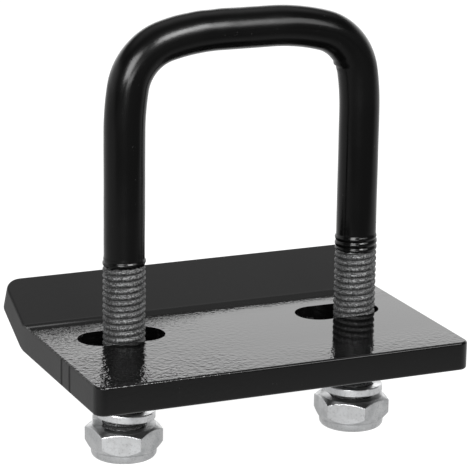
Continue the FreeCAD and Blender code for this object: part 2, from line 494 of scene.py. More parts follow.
def make_dust() -> NodeTree:
    """Sparse pale specks that settle on dark surfaces."""
    group, tree, source, result = new_group("dust", {"Speck Size": 0.0007, "Amount": 0.5}, ("Mask",))
    vector = source.outputs["Vector"]
    cells = tree.feed(
        tree.add("TexVoronoi", feature="F1"),
        Vector=vector, Scale=tree.math("DIVIDE", 1.0, source.outputs["Speck Size"]),
    )
    speck = tree.remap(cells.outputs["Distance"], 0.0, 0.22, 1.0, 0.0)
    scatter = tree.remap(tree.noise(vector, 260.0, 3.0), 0.6, 0.75)
    tree.link(
        tree.math("MULTIPLY", tree.math("MULTIPLY", speck, scatter), source.outputs["Amount"]),
        result.inputs["Mask"],
    )
    return group


@dataclass(frozen=True)
class Effects:
    """The node groups that several finishes share."""

    orange_peel: NodeTree
    metal_grain: NodeTree
    dust: NodeTree

    @classmethod
    def build(cls) -> "Effects":
        """Build each group once."""
        return cls(make_orange_peel(), make_metal_grain(), make_dust())


class Surface:
    """A new material under construction, with its shader and Object coordinates."""

    def __init__(self, name: str) -> None:
        """Start a material with a Principled shader.

        Args:
            name: The material's name.
        """
        self.material = bpy.data.materials.new(name)
        self.material.use_nodes = True
        self.tree = Tree(self.material.node_tree)
        self.shader = self.tree.add("BsdfPrincipled")
        self.tree.link(self.shader.outputs[0], self.tree.add("OutputMaterial").inputs["Surface"])
        self.coordinates = self.tree.add("TexCoord").outputs["Object"]

    def effect(self, group: NodeTree, **inputs: object) -> Node:
        """Place a shared effect on the Object coordinates."""
        node = self.tree.add("Group")
        node.node_tree = group
        return self.tree.feed(node, Vector=self.coordinates, **inputs)

    def bump(self, height: NodeSocket, distance: float, strength: float = 1.0) -> None:
        """Feed a height in metres per unit into the shader's normal."""
        node = self.tree.feed(self.tree.add("Bump"), Height=height, Distance=distance, Strength=strength)
        self.tree.link(node.outputs[0], self.shader.inputs["Normal"])


@dataclass(frozen=True)
class PowderCoat:
    """Glossy black coat with orange peel, stronger towards the plate's left end and its rims, and a painted highlight
    along the fold.
    """

    colour: float = 0.0006
    roughness: float = 0.035
    sheared_roughness: float = 0.5
    ior: float = 1.3
    cell: float = 0.0014
    peel_depth: float = 0.0002
    left_end: float = -0.058
    fold_highlight_y: float = 0.0166

    def build(self, effects: Effects) -> Material:
        """Build the finish."""
        surface = Surface("black_powder_coat")
        tree = surface.tree
        shader = surface.shader
        place = tree.feed(tree.add("SeparateXYZ"), Vector=surface.coordinates)
        peel = surface.effect(effects.orange_peel, Cell_Size=self.cell, Patchiness=0.45)
        dust = surface.effect(effects.dust, Speck_Size=0.0009, Amount=0.35)
        left = tree.remap(place.outputs["X"], -0.05, 0.01, 0.8, 0.03)
        front = tree.remap(place.outputs["Y"], -0.036, -0.02, 0.4, 0.0)
        fold = tree.remap(place.outputs["Y"], 0.006, 0.012, 0.0, 0.3)
        strength = tree.math("ADD", tree.math("ADD", left, front), fold)
        for label, low, high, kept in (("Y", 0.0152, 0.0125, 0.05), ("Z", -0.0007, -0.0002, 0.12)):
            level = tree.remap(place.outputs[label], low, high, kept, 1.0)
            strength = tree.math("MULTIPLY", strength, level)
        height = tree.math("MULTIPLY", peel.outputs["Height"], strength)
        surface.bump(height, self.peel_depth)
        # Painted highlight: a pale line along the fold stands in for light caught there; the specks from the dust group
        # are real dust.
        from_fold = tree.math("ABSOLUTE", tree.math("SUBTRACT", place.outputs["Y"], self.fold_highlight_y))
        painted_fold_highlight = tree.remap(from_fold, 0.0002, 0.0009, 1.0, 0.0)
        painted_fold_highlight = tree.math("MULTIPLY", painted_fold_highlight, tree.remap(place.outputs["X"], -0.05, -0.03, 0.7, 0.0))
        painted_fold_highlight = tree.math("MULTIPLY", painted_fold_highlight, tree.remap(place.outputs["Z"], -0.0003, 0.0))
        pale = tree.math("MAXIMUM", dust.outputs["Mask"], painted_fold_highlight)
        tree.link(tree.mix_colour(pale, grey(self.colour), grey(0.05)), shader.inputs["Base Color"])
        skin = tree.remap(peel.outputs["Patch"], 0.4, 1.0, self.roughness, self.roughness + 0.03)
        end = self.left_end
        sheared = tree.remap(place.outputs["X"], end + 0.0001, end + 0.0006, self.sheared_roughness, 0.0)
        tree.link(tree.math("ADD", skin, sheared), shader.inputs["Roughness"])
        shader.inputs["IOR"].default_value = self.ior
        return surface.material


@dataclass(frozen=True)
class ShrinkTube:
    """Smooth glossy black shrink tube with a faint drawn ripple."""

    colour: float = 0.0006
    roughness: float = 0.2
    ior: float = 1.2

    def build(self, effects: Effects) -> Material:
        """Build the finish."""
        surface = Surface("black_shrink_tube")
        tree = surface.tree
        shader = surface.shader
        peel = surface.effect(effects.orange_peel, Cell_Size=0.0042, Patchiness=0.8)
        dust = surface.effect(effects.dust, Speck_Size=0.0007, Amount=0.5)
        surface.bump(peel.outputs["Height"], 0.00005)
        tree.link(
            tree.mix_colour(dust.outputs["Mask"], grey(self.colour), grey(0.06)), shader.inputs["Base Color"]
        )
        tree.link(
            tree.remap(peel.outputs["Patch"], 0.2, 1.0, self.roughness - 0.04, self.roughness + 0.06),
            shader.inputs["Roughness"],
        )
        shader.inputs["IOR"].default_value = self.ior
        return surface.material


@dataclass(frozen=True)
class RolledSteel:
    """Dull thread steel with painted shade: roots darkened by radius, fading out on the paler, flecked crests."""

    spacing: float
    root_radius: float
    crest_radius: float

    def build(self, effects: Effects) -> Material:
        """Build the finish."""
        surface = Surface("rolled_thread_steel")
        tree = surface.tree
        shader = surface.shader
        place = tree.feed(tree.add("SeparateXYZ"), Vector=surface.coordinates)
        from_leg = tree.math("SUBTRACT", tree.math("ABSOLUTE", place.outputs["X"]), self.spacing / 2 * MM)
        squares = [tree.math("POWER", tree.math("ABSOLUTE", side), 2.0) for side in (from_leg, place.outputs["Y"])]
        radius = tree.math("SQRT", tree.math("ADD", *squares))
        # Painted shade: darkest at the root radius, fading out towards the crests.
        crest = tree.remap(radius, self.root_radius * MM, self.crest_radius * MM)
        grain = surface.effect(effects.metal_grain, Grain_Size=0.00045, Blotch_Size=0.003)
        flecks = tree.remap(grain.outputs["Grain"], 0.3, 0.8)
        tone = tree.mix_colour(flecks, grey(0.001), grey(0.075, 0.02))
        tone = tree.mix_colour(tree.math("MULTIPLY", grain.outputs["Blotch"], 0.5), tone, grey(0.01))
        tree.link(tree.mix_colour(crest, grey(0.01), tone), shader.inputs["Base Color"])
        tree.link(tree.remap(grain.outputs["Grain"], 0.0, 1.0, 0.7, 0.5), shader.inputs["Roughness"])
        shader.inputs["Metallic"].default_value = 0.6
        surface.bump(grain.outputs["Height"], 0.0002)
        return surface.material


@dataclass(frozen=True)
class ZincPlate:
    """Bright zinc over pressed steel, satin with faint blotches."""

    name: str
    level: float = 0.35
    roughness: float = 0.34

    def build(self, effects: Effects) -> Material:
        """Build the finish."""
        surface = Surface(self.name)
        tree = surface.tree
        shader = surface.shader
        grain = surface.effect(effects.metal_grain, Grain_Size=0.0005, Blotch_Size=0.0035)
        tone = tree.mix_colour(grain.outputs["Blotch"], grey(self.level, 0.02), grey(self.level * 0.84, 0.03))
        specks = tree.remap(grain.outputs["Grain"], 0.62, 0.95, 0.0, 0.4)
        tree.link(tree.mix_colour(specks, tone, grey(self.level * 0.45)), shader.inputs["Base Color"])
        tree.link(
            tree.remap(grain.outputs["Blotch"], 0.0, 1.0, self.roughness - 0.04, self.roughness + 0.08),
            shader.inputs["Roughness"],
        )
        shader.inputs["Metallic"].default_value = 1.0
        surface.bump(grain.outputs["Height"], 0.00001)
        return surface.material


@dataclass(frozen=True)
class Nylon:
    """Waxy off-white moulded nylon."""

    level: float = 0.72

    def build(self, effects: Effects) -> Material:
        """Build the finish."""
        surface = Surface("moulded_nylon")
        tree = surface.tree
        shader = surface.shader
        grain = surface.effect(effects.metal_grain, Grain_Size=0.0003, Blotch_Size=0.002)
        warm = (self.level, self.level * 0.98, self.level * 0.92, 1.0)
        worn = (self.level * 0.85, self.level * 0.82, self.level * 0.74, 1.0)
        tree.link(tree.mix_colour(grain.outputs["Blotch"], warm, worn), shader.inputs["Base Color"])
        tree.link(tree.remap(grain.outputs["Grain"], 0.0, 1.0, 0.38, 0.5), shader.inputs["Roughness"])
        surface.bump(grain.outputs["Height"], 0.00002)
        return surface.material


@dataclass(frozen=True)
class Floor:
    """Pale matt studio floor whose glow is painted light, as of back-lit acrylic: bright behind the clamp and nearly
    dark in front, which keeps shadows faint.
    """

    level: float = 0.08
    glow: float = 0.98
    front_glow: float = 0.04

    def build(self) -> Material:
        """Build the finish."""
        surface = Surface("studio_floor")
        tree = surface.tree
        cloud = tree.noise(surface.coordinates, 3.0, 2.0)
        tone = tree.mix_colour(cloud, grey(self.level), grey(self.level * 0.985))
        tree.link(tone, surface.shader.inputs["Base Color"])
        # Painted light: the floor glows brightly behind Y -0.055 and only at front_glow in front.
        place = tree.feed(tree.add("SeparateXYZ"), Vector=surface.coordinates)
        behind = tree.remap(place.outputs["Y"], -0.19, -0.055)
        lit = tree.mix_colour(behind, grey(self.front_glow), grey(self.glow))
        tree.link(lit, surface.shader.inputs["Emission Color"])
        surface.shader.inputs["Emission Strength"].default_value = 1.0
        surface.shader.inputs["Roughness"].default_value = 0.9
        surface.shader.inputs["Specular IOR Level"].default_value = 0.0
        return surface.material


@dataclass(frozen=True)
class Finishes:
    """Every finish of the clamp."""

    plate: Material
    sleeve: Material
    thread: Material
    nut: Material
    washer: Material
    nylon: Material


# ---------------------------------------------------------------------------------------------
# The U-bolt: threaded bar and its sleeve
# ---------------------------------------------------------------------------------------------


@dataclass(frozen=True)
class Arc:
    """One arc of the left bend, in the XZ plane: its hub, its radius and the angle it has turned."""

    hub: Vector
    radius: float
    start: float
    end: float

    def mirrored(self) -> "Arc":
        """The same arc in the right bend."""
        return Arc(Vector((-self.hub.x, 0, self.hub.z)), self.radius, self.start, self.end)


@dataclass
class BentBar:
    """The centreline of the U with its eased bends, and tube sweeps along it."""

    spacing: float = 70.5
    crown_z: float = 83.9
    bend: tuple[tuple[float, float], ...] = ((70.0, 9.6), (15.1, 65.1), (60.0, 15.3))

    def leg_x(self, side: Side) -> float:
        """Where a leg's axis stands."""
        return side.sign * self.spacing / 2

    def _size(self) -> tuple[float, float]:
        """How far a bend reaches along X and Z."""
        width = height = turned = 0.0
        for radius, angle in self.bend:
            start, end = math.radians(turned), math.radians(turned + angle)
            width += radius * (math.cos(start) - math.cos(end))
            height += radius * (math.sin(end) - math.sin(start))
            turned += angle
        return width, height

    @property
    def crown_half(self) -> float:
        """Half the length of the crown's straight middle."""
        return self.spacing / 2 - self._size()[0]

    @property
    def bend_z(self) -> float:
        """Height at which the legs start to bend."""
        return self.crown_z - self._size()[1]

    def arcs(self) -> list[Arc]:
        """The left bend's arcs from the leg to the crown."""
        found = []
        point = Vector((-self.spacing / 2, 0, self.bend_z))
        turned = 0.0
        for radius, angle in self.bend:
            start, end = math.radians(turned), math.radians(turned + angle)
            hub = point + Vector((math.cos(start), 0, -math.sin(start))) * radius
            found.append(Arc(hub, radius, start, end))
            point = hub + Vector((-math.cos(end), 0, math.sin(end))) * radius
            turned += angle
        return found

    def centre(self, point: Vector) -> Vector:
        """The nearest point of the centreline to a point on the tube."""
        sign = -1 if point.x < 0 else 1
        if point.z <= self.bend_z:
            return Vector((sign * self.spacing / 2, 0, point.z))
        if abs(point.x) <= self.crown_half:
            return Vector((point.x, 0, self.crown_z))
        folded = Vector((-abs(point.x), 0, point.z))
        candidates = []
        for arc in self.arcs():
            spoke = folded - arc.hub
            turned = min(max(math.atan2(spoke.z, -spoke.x), arc.start), arc.end)
            candidates.append(arc.hub + Vector((-math.cos(turned), 0, math.sin(turned))) * arc.radius)
        nearest = min(candidates, key=lambda candidate: (candidate - folded).length)
        return Vector((-sign * nearest.x, 0, nearest.z))

    def sweep(
        self, bm: BMesh, radius: float, segments: int, up: list[float], down: list[float], bend_row: float
    ) -> None:
        """Sweep an open tube up the left leg, over the crown and down the right leg.

        Args:
            bm: The mesh that takes the tube.
            radius: The tube's radius.
            segments: Flats around the tube.
            up: Heights of the rows up the left leg, the first being the tube's start.
            down: Heights of the rows down the right leg, the last being the tube's end.
            bend_row: Length of a row in the bends and on the crown.
        """
        ring = ring_of(bm, radius, segments, self.leg_x(Side.LEFT), up[0])
        ring = self._rows(bm, ring, [Vector((0, 0, b - a)) for a, b in zip(up, up[1:] + [self.bend_z])])
        for arc in self.arcs():
            ring = self._turn(bm, ring, arc, bend_row)
        steps = max(round(2 * self.crown_half / bend_row), 1)
        ring = self._rows(bm, ring, [Vector((2 * self.crown_half / steps, 0, 0))] * steps)
        for arc in reversed(self.arcs()):
            ring = self._turn(bm, ring, arc.mirrored(), bend_row)
        self._rows(bm, ring, [Vector((0, 0, b - a)) for a, b in zip([self.bend_z] + down, down)])

    def _rows(self, bm: BMesh, ring: Ring, strides: list[Vector]) -> Ring:
        """Extrude a ring through straight strides and return the last ring."""
        for stride in strides:
            made = bmesh.ops.extrude_edge_only(bm, edges=ring[1])
            ring = split(made["geom"])
            bmesh.ops.translate(bm, vec=stride, verts=ring[0])
        return ring

    def _turn(self, bm: BMesh, ring: Ring, arc: Arc, row: float) -> Ring:
        """Spin a ring over one arc and return the last ring."""
        angle = arc.end - arc.start
        made = bmesh.ops.spin(
            bm,
            geom=ring[0] + ring[1],
            cent=arc.hub,
            axis=(0, 1, 0),
            angle=angle,
            steps=max(round(angle * arc.radius / row), 2),
        )
        return split(made["geom_last"])


@dataclass
class UBoltBar:
    """The steel bar with its two rolled threads."""

    path: BentBar
    thread: ThreadForm
    datum: dict[Side, float]
    covered_z: dict[Side, float]
    covered_radius: float = 5.6
    shank_radius: float = 5.2
    end_z: float = -33.0
    end_chamfer: float = 1.1
    thread_top: float = 22.4
    runout: float = 1.2
    segments: int = 60
    roughness: float = 0.08

    def build(self, material: Material) -> Object:
        """Build the bar as one closed mesh.

        Args:
            material: The bar's finish.

        Returns:
            The finished bar.
        """
        bm = bmesh.new()
        shank_z = self.thread_top + self.runout
        for side in Side:
            join(bm, self._leg(side))
        self.path.sweep(bm, self.shank_radius, self.segments, [shank_z], [shank_z], 2.5)
        for side in Side:
            x = self.path.leg_x(side)
            loops = open_loop(bm, self.thread_top, x) + open_loop(bm, shank_z, x)
            bmesh.ops.bridge_loops(bm, edges=loops)
        tag = PieceTag("threaded_bar", "u_bolt", "rolled_steel", ("u_bolt_bar",), 60.0)
        return finish_piece(bm, tag, material)

    def _leg(self, side: Side) -> BMesh:
        """One threaded leg, capped and chamfered below and open above."""
        x = self.path.leg_x(side)
        bm = helical_thread(
            self.thread.outline(), self.thread.pitch, x, self.datum[side], self.end_z, self.thread_top, self.segments
        )
        bottom = open_loop(bm, self.end_z, x)
        bmesh.ops.contextual_create(bm, geom=bottom)
        for vert in bm.verts:
            self._shape_thread(vert, side)
        return bm

    def _shape_thread(self, vert: BMVert, side: Side) -> None:
        """Chamfer the leg's end, fade the crests under the sleeve and roughen the rest."""
        x = self.path.leg_x(side)
        spoke = Vector((vert.co.x - x, vert.co.y, 0))
        radius = spoke.length
        if radius < 1e-6:
            return
        height = vert.co.z - self.end_z
        fade = smooth_step((vert.co.z - self.covered_z[side] + 1.2) / 1.2)
        crest = self.thread.major_radius - fade * (self.thread.major_radius - self.covered_radius)
        largest = min(crest, self.thread.major_radius - self.end_chamfer + height)
        share = (radius - self.thread.root_radius) / (self.thread.major_radius - self.thread.root_radius)
        lump = noise.noise(Vector((vert.co.x, vert.co.y, vert.co.z)) * 0.9)
        fine = noise.noise(Vector((vert.co.x, vert.co.y, vert.co.z)) * 2.6)
        wanted = min(radius + self.roughness * share * (lump + 0.6 * fine), largest, self.thread.major_radius)
        spoke.length = max(wanted, 0.1)
        vert.co.x = x + spoke.x
        vert.co.y = spoke.y


@dataclass
class ShrinkSleeve:
    """The black tube shrunk over the bar and the first turns of each thread."""

    path: BentBar
    thread: ThreadForm
    datum: dict[Side, float]
    end_z: dict[Side, float]
    ragged: dict[Side, float]
    radius: float = 5.47
    wall: float = 0.2
    grip_radius: float = 5.6
    thread_top: float = 22.4
    segments: int = 96
    cuff_row: float = 0.2
    leg_row: float = 1.9

    def build(self, material: Material) -> Object:
        """Build the sleeve as a thin closed wall.

        Args:
            material: The sleeve's finish.

        Returns:
            The finished sleeve.
        """
        bm = bmesh.new()
        self.path.sweep(bm, self.radius, self.segments, self._rows(Side.LEFT), self._rows(Side.RIGHT)[::-1], 1.2)
        for vert in bm.verts:
            self._shape(vert)
        bmesh.ops.recalc_face_normals(bm, faces=bm.faces)
        if bm.faces[0].normal.dot(bm.faces[0].calc_center_median() - Vector((self.path.leg_x(Side.LEFT), 0, 0))) < 0:
            bmesh.ops.reverse_faces(bm, faces=bm.faces)
        tag = PieceTag("shrink_tube", "u_bolt", "black_sleeve", ("shrink_sleeve",), 70.0)
        sleeve = finish_piece(bm, tag, material, recalculate=False)
        wall = sleeve.modifiers.new("wall", "SOLIDIFY")
        wall.thickness = self.wall * MM
        wall.offset = -1.0
        wall.use_even_offset = True
        return sleeve

    def _rows(self, side: Side) -> list[float]:
        """Heights of the rows on a leg, close together over the thread."""
        start = self.end_z[side]
        cuff_top = self.thread_top + 3.0
        count = round((cuff_top - start) / self.cuff_row)
        rows = [start + (cuff_top - start) * index / count for index in range(count)]
        count = round((self.path.bend_z - cuff_top) / self.leg_row)
        rows += [cuff_top + (self.path.bend_z - cuff_top) * index / count for index in range(count)]
        return rows

    def _shape(self, vert: BMVert) -> None:
        """Shrink one vertex on to the thread, or give the tube its faint lumps and wrinkles."""
        centre = self.path.centre(vert.co)
        spoke = vert.co - centre
        radius = self.radius + 0.035 * noise.noise(vert.co * 0.16) + 0.012 * noise.noise(vert.co * 0.5)
        if vert.co.z < self.path.bend_z:
            side = Side.LEFT if vert.co.x < 0 else Side.RIGHT
            radius = self._cuff_radius(side, vert.co.z, math.atan2(spoke.y, spoke.x), radius)
            end = self.end_z[side]
            fade = 1 - smooth_step((vert.co.z - end) / 1.6)
            tear = noise.noise(Vector((spoke.x * 0.55, spoke.y * 0.55, side.sign * 4.0)))
            tear += 0.5 * noise.noise(Vector((spoke.x * 1.6, spoke.y * 1.6, side.sign * 9.0)))
            spoke.length = radius
            vert.co = centre + spoke
            vert.co.z += self.ragged[side] * fade * (0.25 + tear)
            return
        radius += self._wrinkle(vert.co, spoke)
        spoke.length = radius
        vert.co = centre + spoke

    def _cuff_radius(self, side: Side, z: float, angle: float, plain: float) -> float:
        """Outer radius where the tube grips the first turns of thread."""
        crest = self.thread.crest_share(z, angle, self.datum[side])
        gripped = self.grip_radius + self.wall - 0.3 * (1 - crest) ** 1.5
        blend = 1 - smooth_step((z - self.thread_top + 0.9) / 1.5)
        lip = 1 - smooth_step((z - self.end_z[side]) / 0.5)
        return plain + (gripped - plain) * blend - 0.12 * lip

    def _wrinkle(self, point: Vector, spoke: Vector) -> float:
        """Lumps on the crown and small folds inside the right bend, as a change of radius."""
        up = spoke.normalized().z
        crown = 0.10 * hump(point.x, -20.0, 5.0) * max(up, 0.0)
        crown += 0.06 * math.sin(point.x * 0.8) * hump(point.x, -12.0, 10.0) * max(up, 0.0)
        hub = self.path.arcs()[1].mirrored().hub
        outward = Vector((point.x - hub.x, 0, point.z - hub.z)).normalized()
        turn = math.atan2(outward.z, outward.x)
        inward = max(-spoke.normalized().dot(outward), 0.0)
        folds = 0.3 * math.sin(turn * 28) * hump(math.degrees(turn), 26.0, 10.0) * inward ** 2
        return crown + (folds if point.x > hub.x else 0.0)


# ---------------------------------------------------------------------------------------------
# Nuts, inserts and washers
# ---------------------------------------------------------------------------------------------


@dataclass
class LockNut:
    """Hexagon nut with a chamfered top, a tapered waist and a crimped collar below."""

    side: Side
    x: float
    thread: ThreadForm
    datum: float
    flat_angle: float
    top_z: float = -25.5
    height: float = 9.0
    flats: float = 19.0
    face_radius: float = 8.9
    chamfer_drop: float = 1.2
    hex_drop: float = 4.8
    taper_drop: float = 6.7
    collar_radius: float = 9.25
    rim_radius: float = 8.4
    lip_radius: float = 6.8
    seat_radius: float = 7.5
    seat_top_drop: float = 5.8
    seat_height: float = 2.5
    bore_mouth: float = 6.5
    bore_radius: float = 6.15
    thread_clearance: float = 0.07
    ridge_radius: float = 5.16
    facets: int = 96
    edge_round: float = 0.13

    def build(self, material: Material) -> Object:
        """Build the nut as one closed mesh.

        Args:
            material: The nut's finish.

        Returns:
            The finished nut.
        """
        bm = self._shell()
        self._open_bore(bm)
        turn = Matrix.Rotation(math.radians(self.flat_angle), 3, "Z")
        bmesh.ops.rotate(bm, cent=(0, 0, 0), matrix=turn, verts=bm.verts)
        bmesh.ops.translate(bm, vec=(self.x, 0, 0), verts=bm.verts)
        self._thread_bore(bm)
        name = self.side.value + "_nut"
        tag = PieceTag(name, name, "zinc_nut", (self.side.value + "_lock_nut",), 30.0, 4.0)
        return finish_piece(bm, tag, material)

    def _shell(self) -> BMesh:
        """The chamfered hexagon, solid, about the Z axis."""
        bm = bmesh.new()
        corner = self.flats / math.sqrt(3)
        middle = Matrix.Translation((0, 0, self.top_z - self.taper_drop / 2))
        bmesh.ops.create_cone(
            bm, cap_ends=True, segments=6, radius1=corner, radius2=corner, depth=self.taper_drop, matrix=middle
        )
        cut_cone(bm, self.face_radius, self.top_z, corner - self.face_radius, -self.chamfer_drop, self.facets)
        cut_cone(
            bm,
            self.collar_radius,
            self.top_z - self.taper_drop,
            corner - self.collar_radius,
            self.taper_drop - self.hex_drop,
            self.facets,
        )
        bmesh.ops.remove_doubles(bm, verts=bm.verts, dist=MERGE_MM)
        bmesh.ops.dissolve_degenerate(bm, edges=bm.edges, dist=MERGE_MM)
        bm.normal_update()
        bevel_sharp(bm, self.edge_round, 2, 18.0, self._is_flank_edge)
        bm.normal_update()
        return bm

    def _is_flank_edge(self, edge: BMEdge) -> bool:
        """Whether an edge borders one of the six flats, away from the two level faces."""
        limits = (self.top_z - self.taper_drop + 0.01, self.top_z - 0.01)
        return all(limits[0] < vert.co.z < limits[1] for vert in edge.verts)

    def _open_bore(self, bm: BMesh) -> None:
        """Draw the collar down, turn its lip in and open both mouths of the bore."""
        bottom = self.top_z - self.height
        seat_top = self.top_z - self.seat_top_drop
        seat_bottom = seat_top - self.seat_height
        face = face_toward(bm, Vector((0, 0, -1)))
        for radius, z in (
            (self.collar_radius - 0.05, bottom + 1.15),
            (self.collar_radius - 0.16, bottom + 0.7),
            (self.collar_radius - 0.45, bottom + 0.27),
            (self.rim_radius, bottom + 0.02),
            (self.rim_radius - 0.35, bottom),
            (self.lip_radius + 0.3, bottom),
            (self.lip_radius + 0.08, bottom + 0.08),
            (self.lip_radius, bottom + 0.3),
            (self.lip_radius, seat_bottom),
            (self.seat_radius, seat_bottom),
            (self.seat_radius, seat_top),
            (self.bore_radius, seat_top),
        ):
            face = step_face(bm, face, radius, z)
        bmesh.ops.delete(bm, geom=[face], context="FACES_ONLY")
        bm.normal_update()
        face = face_toward(bm, Vector((0, 0, 1)))
        for radius, z in (
            (self.bore_mouth + 0.15, self.top_z),
            (self.bore_mouth, self.top_z - 0.05),
            (self.bore_radius, self.top_z - 0.5),
        ):
            face = step_face(bm, face, radius, z)
        bmesh.ops.delete(bm, geom=[face], context="FACES_ONLY")

    def _thread_bore(self, bm: BMesh) -> None:
        """Line the bore with the nut's own thread."""
        mouth = self.top_z - 0.5
        seat_top = self.top_z - self.seat_top_drop
        inset = 0.12
        outline = self.thread.outline(self.thread_clearance, self.ridge_radius)
        lining = helical_thread(
            outline, self.thread.pitch, self.x, self.datum, seat_top + inset, mouth - inset, 48
        )
        join(bm, lining)
        for outer, inner in ((mouth, mouth - inset), (seat_top, seat_top + inset)):
            loops = open_loop(bm, outer, self.x) + open_loop(bm, inner, self.x)
            bmesh.ops.bridge_loops(bm, edges=loops)


@dataclass
class NylonInsert:
    """The locking ring in a nut's collar, its bore marked by the bolt's thread."""

    side: Side
    x: float
    thread: ThreadForm
    datum: float
    top_z: float = -31.34
    bottom_z: float = -33.76
    outer_radius: float = 7.45
    bore_radius: float = 6.1
    ridge_radius: float = 5.6
    clearance: float = 0.12
    segments: int = 72

    def build(self, material: Material) -> Object:
        """Build the ring as one closed mesh.

        Args:
            material: The ring's finish.

        Returns:
            The finished insert.
        """
        round_off = 0.2
        bm = bmesh.new()
        path = [
            (self.bore_radius, self.top_z),
            (self.outer_radius - round_off, self.top_z),
            (self.outer_radius, self.top_z - round_off),
            (self.outer_radius, self.bottom_z + round_off),
            (self.outer_radius - round_off, self.bottom_z),
            (self.bore_radius, self.bottom_z),
        ]
        verts = [bm.verts.new((self.x + radius, 0, z)) for radius, z in path]
        edges = [bm.edges.new(pair) for pair in zip(verts, verts[1:])]
        bmesh.ops.spin(
            bm,
            geom=verts + edges,
            cent=(self.x, 0, 0),
            axis=(0, 0, 1),
            angle=math.tau,
            steps=self.segments,
            use_merge=True,
        )
        inset = 0.1
        outline = self.thread.outline(self.clearance, self.ridge_radius)
        lining = helical_thread(
            outline, self.thread.pitch, self.x, self.datum, self.bottom_z + inset, self.top_z - inset, 48
        )
        join(bm, lining)
        for outer, inner in ((self.top_z, self.top_z - inset), (self.bottom_z, self.bottom_z + inset)):
            loops = open_loop(bm, outer, self.x) + open_loop(bm, inner, self.x)
            bmesh.ops.bridge_loops(bm, edges=loops)
        name = self.side.value + "_nylon_ring"
        tag = PieceTag(name, self.side.value + "_nut", "nylon", (self.side.value + "_nylon_insert",), 40.0)
        return finish_piece(bm, tag, material)


@dataclass
class LockWasher:
    """A split washer: one left-hand turn of square wire with its ends sprung apart."""

    side: Side
    x: float
    high_end_angle: float
    tilt: float
    tilt_axis: float
    lowest_z: float = -25.4
    inner_radius: float = 6.2
    outer_radius: float = 8.8
    section: float = 2.2
    rise: float = 3.1
    turn: float = 338.0
    corner: float = 0.28
    steps: int = 84

    def build(self, material: Material) -> Object:
        """Build the washer as one closed mesh.

        Args:
            material: The washer's finish.

        Returns:
            The finished washer.
        """
        bm = bmesh.new()
        low, high, soft = self.inner_radius, self.outer_radius, self.corner
        path = [
            (low + soft, 0.0), (high - soft, 0.0), (high - soft * 0.3, soft * 0.3), (high, soft),
            (high, self.section - soft), (high - soft * 0.3, self.section - soft * 0.3),
            (high - soft, self.section), (low + soft, self.section),
            (low, self.section - soft), (low, soft),
        ]
        verts = [bm.verts.new((radius, 0, z)) for radius, z in path]
        edges = [bm.edges.new(pair) for pair in zip(verts, verts[1:] + verts[:1])]
        made = bmesh.ops.spin(
            bm,
            geom=verts + edges,
            cent=(0, 0, 0),
            axis=(0, 0, 1),
            dvec=(0, 0, -self.rise / self.steps),
            angle=math.radians(self.turn),
            steps=self.steps,
        )
        last, _ = split(made["geom_last"])
        for end in (edges, split(made["geom_last"])[1]):
            bmesh.ops.contextual_create(bm, geom=end)
        bmesh.ops.rotate(
            bm, cent=(0, 0, 0), matrix=Matrix.Rotation(math.radians(self.high_end_angle), 3, "Z"), verts=bm.verts
        )
        lean = math.radians(self.tilt_axis)
        axis = Vector((math.cos(lean), math.sin(lean), 0))
        centre = (0, 0, (self.section - self.rise) / 2)
        bmesh.ops.rotate(
            bm, cent=centre, matrix=Matrix.Rotation(math.radians(self.tilt), 3, axis), verts=bm.verts
        )
        drop = self.lowest_z - min(vert.co.z for vert in bm.verts)
        bmesh.ops.translate(bm, vec=(self.x, 0, drop), verts=bm.verts)
        name = self.side.value + "_split_washer"
        tag = PieceTag(name, self.side.value + "_washer", "zinc_washer", (self.side.value + "_lock_washer",), 20.0)
        return finish_piece(bm, tag, material)


# ---------------------------------------------------------------------------------------------
# The clamp as a whole and the studio
# ---------------------------------------------------------------------------------------------


@dataclass
class ClampPlate:
    """The bent plate, whose shape is the frame's own."""

    node: str = "clamp_plate"

    def dress(self, material: Material) -> Object:
        """Give the plate its coat."""
        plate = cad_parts[self.node]
        plate.data.materials.clear()
        plate.data.materials.append(material)
        log.info("%s: %d faces, coated", self.node, len(plate.data.polygons))
        return plate


@dataclass
class Clamp:
    """Every sub-assembly of the clamp."""

    thread: ThreadForm
    path: BentBar
    datum: dict[Side, float]

    def build(self, finishes: Finishes) -> None:
        """Build the pieces in order.

        Args:
            finishes: The clamp's finishes.
        """
        sleeve_end = {Side.LEFT: 20.5, Side.RIGHT: 18.1}
        ragged = {Side.LEFT: 0.7, Side.RIGHT: 0.3}
        UBoltBar(self.path, self.thread, self.datum, sleeve_end).build(finishes.thread)
        ShrinkSleeve(self.path, self.thread, self.datum, sleeve_end, ragged).build(finishes.sleeve)
        ClampPlate().dress(finishes.plate)
        flat_angles = {Side.LEFT: 4.7, Side.RIGHT: -5.3}
        washers = {Side.LEFT: (-164.0, 0.0, 0.0), Side.RIGHT: (73.0, 3.0, -117.0)}
        for side in Side:
            x = self.path.leg_x(side)
            LockWasher(side, x, *washers[side]).build(finishes.washer)
            LockNut(side, x, self.thread, self.datum[side], flat_angles[side]).build(finishes.nut)
            NylonInsert(side, x, self.thread, self.datum[side]).build(finishes.nylon)


@dataclass(frozen=True)
class SoftBox:
    """A rectangular soft light aimed at the clamp.

    Its azimuth is counted from +X towards +Y and its size is (across, up) in metres.
    """

    name: str
    azimuth: float
    elevation: float
    distance: float
    size: tuple[float, float]
    power: float

    def build(self) -> Object:
        """Place the light."""
        azimuth, elevation = math.radians(self.azimuth), math.radians(self.elevation)
        outward = Vector((
            math.cos(azimuth) * math.cos(elevation),
            math.sin(azimuth) * math.cos(elevation),
            math.sin(elevation),
        ))
        data = bpy.data.lights.new(self.name, "AREA")
        data.shape = "RECTANGLE"
        data.size, data.size_y = self.size
        data.energy = self.power
        light = bpy.data.objects.new(self.name, data)
        bpy.context.scene.collection.objects.link(light)
        turn = outward.to_track_quat("Z", "Y").to_matrix().to_4x4()
        light.matrix_world = Matrix.Translation(outward * self.distance) @ turn
        return light


